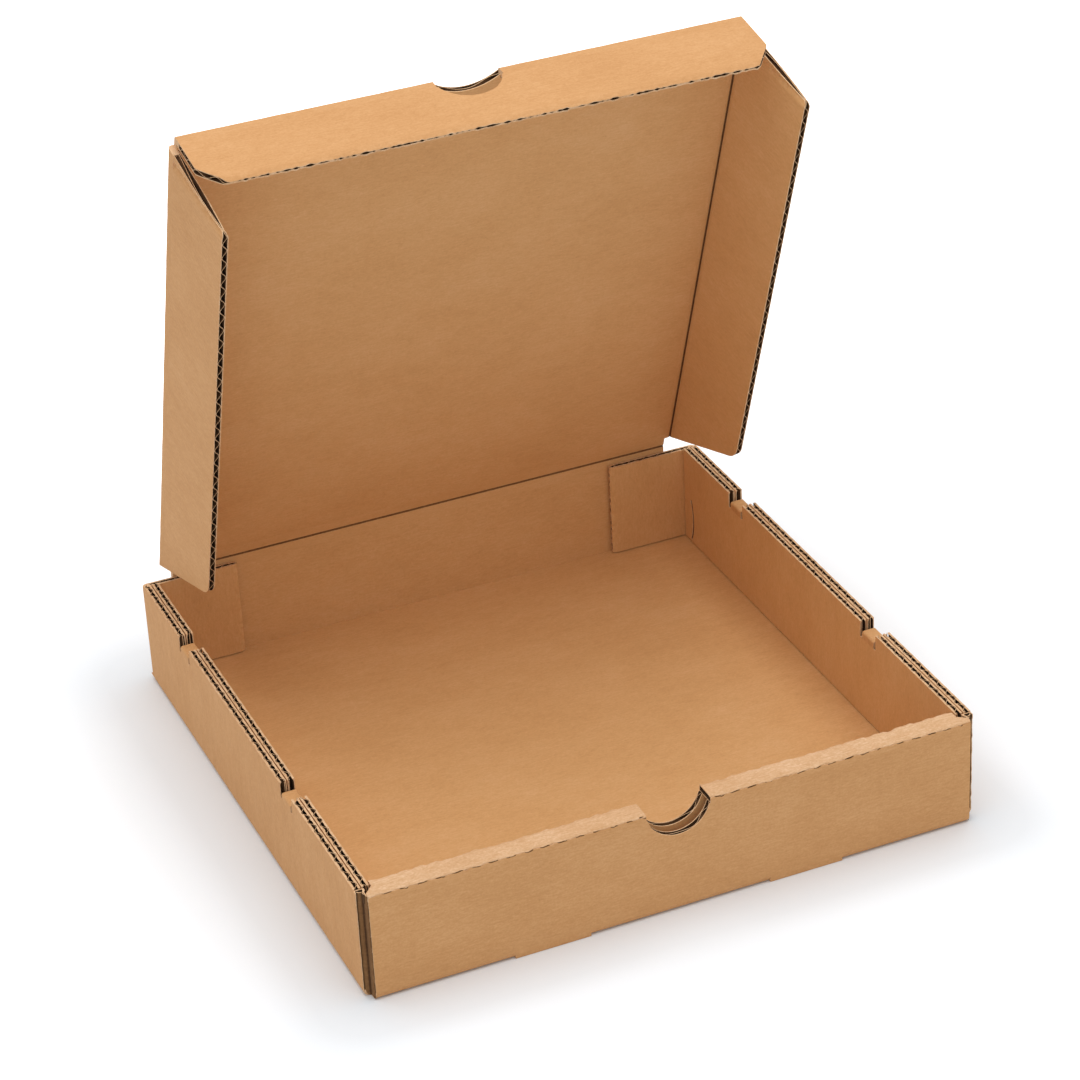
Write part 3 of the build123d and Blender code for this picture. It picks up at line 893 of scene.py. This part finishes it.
def crease_strip(name, origin, along, lengths, first, first_out, second, second_out, reach,
                 pinch=0.6 * mm, slants=(0, 0)):
    """A bent strip of board: first leads back from the crease, second leads on from it.

    The pinch is how far the groove on the inside is crushed into the board. The slants are
    how far the second panel's two ends draw in for each step away from the crease.
    """
    piece = Piece()
    origin, along = Vector(origin), Vector(along)
    first, first_out = Vector(first), Vector(first_out)
    second, second_out = Vector(second), Vector(second_out)
    turn = first_out.angle(second_out)
    flush = half - washboard
    for start, end in lengths:
        count = max(2, int((end - start) / crease_step))
        rings, sheets = [], []
        for k in range(count + 1):
            s = start + (end - start) * k / count
            spot = noise.noise(Vector((s / crease_grain, origin.z / (20 * mm), 5)))
            soft = crease_dent * (spot - 0.6)
            corner = (first_out + second_out) * (-half / (1 + math.cos(turn)))
            groove = corner + (first_out + second_out).normalized() * (pinch + soft)
            second_edge, first_edge = (
                away * (max(corner.dot(away), 0) + groove_edge) - out * flush
                for away, out in ((second, second_out), (first, first_out)))
            ring = [first * reach + first_out * flush, first * bend_reach + first_out * flush]
            ring += [first_out.lerp(second_out, i / 6).normalized() * (half + soft)
                     for i in range(7)]
            ring += [second * bend_reach + second_out * flush,
                     second * reach + second_out * flush, second * reach - second_out * flush,
                     second_edge, groove, first_edge, first * reach - first_out * flush]
            slant = slants[0] * (1 - k / count) - slants[1] * k / count
            rings.append([origin + along * (s + slant * max(0, p.dot(second))) + p
                          for p in ring])
            sheets.append([(s, p.dot(second) - p.dot(first), 0) for p in ring])
        # The groove's two sides take the bare medium's brown as painted shade in the crushed
        # crease.
        skins = [CUT] + [OUTSIDE] * 10 + [CUT, INSIDE, BARE_AND_SHADE, BARE_AND_SHADE, INSIDE]
        if first_out.cross(second_out).dot(along) < 0:
            rings = [ring[::-1] for ring in rings]
            sheets = [sheet[::-1] for sheet in sheets]
            skins = [skins[0]] + skins[:0:-1]
        loft(piece, rings, sheets, lambda k, i: skins[i])
    made = make_board(piece, name)
    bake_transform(made)


crease_strip("hinge_crease", hinge, (1, 0, 0), [(-hinge_half_width, hinge_half_width)],
             (0, 0, -1), (0, 1, 0), up_lid, -into_lid, crease_reach,
             hinge_pinch)
for side, name in ((1, "right"), (-1, "left")):
    down_flap, out_flap = flap_frame(side, flap_opens[name])
    crease_strip(f"{name}_flap_crease_strip", hinge + Vector((side * side_crease, 0, 0)),
                 up_lid, [(side_crease_start, flap_front)], (-side, 0, 0), -into_lid,
                 down_flap, out_flap, flap_crease_reach,
                 slants=(flap_rear_cut / flap_height, flap_front_slant / flap_height))
crease_strip("front_flap_crease_strip", front_crease, (1, 0, 0),
             [(-front_crease_end, -lid_notch_radius), (lid_notch_radius, front_crease_end)],
             -up_lid, -into_lid, down_front, out_front, flap_crease_reach)


# The floor under the box
# A plain sweep of white paper, matt and smooth. It takes the soft shadow of the box, and
# further out it is plain white to the eye of the camera.
sweep = 3000 * mm
shade_reach = 18 * mm
white_reach = 190 * mm
sweep_mesh = bpy.data.meshes.new("paper_sweep")
sweep_mesh.from_pydata([(u, v, 0) for u, v in rectangle(-sweep, sweep, -sweep, sweep)], [],
                       [(0, 1, 2, 3)])
paper_sweep = bpy.data.objects.new("paper_sweep", sweep_mesh)
bpy.context.scene.collection.objects.link(paper_sweep)
white = bpy.data.materials.new("white_sweep_paper")
white.use_nodes = True
white_skin = white.node_tree.nodes["Principled BSDF"]
white_skin.inputs["Base Color"].default_value = linear("#F0F4F8")
white_skin.inputs["Roughness"].default_value = 0.9
white_skin.inputs["Specular IOR Level"].default_value = 0.1
white_skin.inputs["Emission Color"].default_value = (1, 1, 1, 1)


def seen_directly(tree):
    """1 for what the camera sees, also in a gloss or through glass, and 0 for other light."""
    path = add_node(tree, "ShaderNodeLightPath").outputs
    gloss = add_node(tree, "ShaderNodeMath",
                     {0: path["Is Camera Ray"], 1: path["Is Glossy Ray"]},
                     operation="MAXIMUM")
    return add_node(tree, "ShaderNodeMath",
                    {0: gloss.outputs[0], 1: path["Is Transmission Ray"]},
                    operation="MAXIMUM").outputs[0]


sweep_nodes = white.node_tree
place = add_node(sweep_nodes, "ShaderNodeNewGeometry").outputs["Position"]
from_middle = add_node(sweep_nodes, "ShaderNodeVectorMath", {0: place}, operation="ABSOLUTE")
past_box = add_node(sweep_nodes, "ShaderNodeVectorMath", {0: from_middle.outputs["Vector"]},
                    operation="SUBTRACT")
past_box.inputs[1].default_value = (x_out, y_rear, 0)
outward = add_node(sweep_nodes, "ShaderNodeVectorMath", {0: past_box.outputs["Vector"]},
                   operation="MAXIMUM")
outward.inputs[1].default_value = (0, 0, 0)
away = add_node(sweep_nodes, "ShaderNodeVectorMath", {0: outward.outputs["Vector"]},
                operation="LENGTH")
whiteness = add_node(sweep_nodes, "ShaderNodeMapRange", {"Value": away.outputs["Value"]},
                     From_Min=shade_reach, From_Max=white_reach)
glow = add_node(sweep_nodes, "ShaderNodeMath",
                {0: whiteness.outputs["Result"], 1: seen_directly(sweep_nodes)},
                operation="MULTIPLY")
sweep_nodes.links.new(glow.outputs[0], white_skin.inputs["Emission Strength"])
sweep_mesh.materials.append(white)


# Light and camera
# One wide soft lamp overhead and a pale surround, and a camera a little above the box at its
# front left corner.
world = bpy.data.worlds.new("studio")
bpy.context.scene.world = world
world.use_nodes = True
sky = world.node_tree.nodes["Background"]
sky.inputs["Color"].default_value = (1, 1, 1, 1)
sky_strength = 0.62
seen = add_node(world.node_tree, "ShaderNodeMapRange",
                {"Value": seen_directly(world.node_tree)}, To_Min=sky_strength, To_Max=1.0)
world.node_tree.links.new(seen.outputs["Result"], sky.inputs["Strength"])

lamp_height = 1.4
lamp = bpy.data.lights.new("overhead_softbox", "AREA")
lamp.shape = "RECTANGLE"
lamp.size = lamp.size_y = 1.6
lamp.energy = 13.6
overhead = bpy.data.objects.new("overhead_softbox", lamp)
overhead.location = (0, 0.001, lamp_height)
aim = Vector((0, 0, 0.05)) - overhead.location
overhead.rotation_euler = aim.to_track_quat("-Z", "Y").to_euler()
bpy.context.scene.collection.objects.link(overhead)

azimuth = math.radians(-22.14)
elevation = math.radians(30.09)
roll = math.radians(-3.10)
distance = 1.3786
focal_px = 3592
frame_px = 1080
sensor = 36
shift_right = -0.0024
shift_up = 0.0784
back = Vector((math.sin(azimuth) * math.cos(elevation),
               -math.cos(azimuth) * math.cos(elevation), math.sin(elevation)))
right = Vector((math.cos(azimuth), math.sin(azimuth), 0))
up = back.cross(right)
right, up = (right * math.cos(roll) + up * math.sin(roll),
             up * math.cos(roll) - right * math.sin(roll))
camera_data = bpy.data.cameras.new("camera")
camera_data.sensor_width = sensor
camera_data.lens = focal_px / frame_px * sensor
camera = bpy.data.objects.new("camera", camera_data)
turn = Matrix((right, up, back)).transposed().to_4x4()
camera.matrix_world = Matrix.Translation(back * distance + right * shift_right
                                         + up * shift_up) @ turn
bpy.context.scene.collection.objects.link(camera)
bpy.context.scene.camera = camera
bpy.context.scene.view_settings.view_transform = "Standard"
